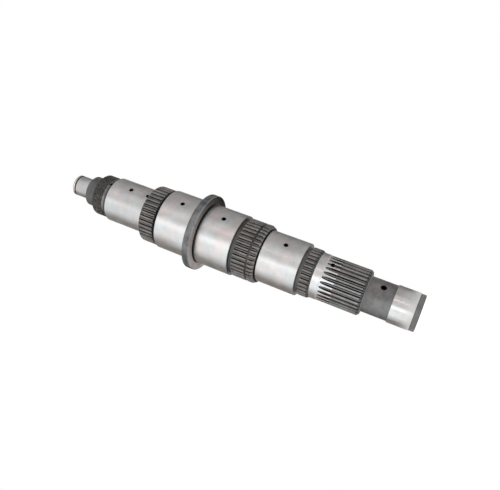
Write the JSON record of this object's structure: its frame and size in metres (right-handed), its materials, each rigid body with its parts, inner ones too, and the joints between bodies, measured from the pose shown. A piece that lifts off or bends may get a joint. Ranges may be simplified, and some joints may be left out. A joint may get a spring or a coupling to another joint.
{
  "type": "gearbox main shaft",
  "caption": "Solid steel gearbox main shaft with stepped bearing journals, a thrust flange, external splines, oil holes and a threaded pilot end.",
  "frame": {"origin": "centre of the flat bottom face, at the end beside the long spline", "axes": "+Z along the shaft, up to the pilot; the line of oil holes is on the -Y side"},
  "size_m": [0.108, 0.1078, 0.5237],
  "materials": {
    "ground_steel": "ground journals, dark hardened teeth, grooves and necks"
  },
  "bodies": {
    "root": {"main_shaft": "ground_steel"}
  },
  "joints": []
}
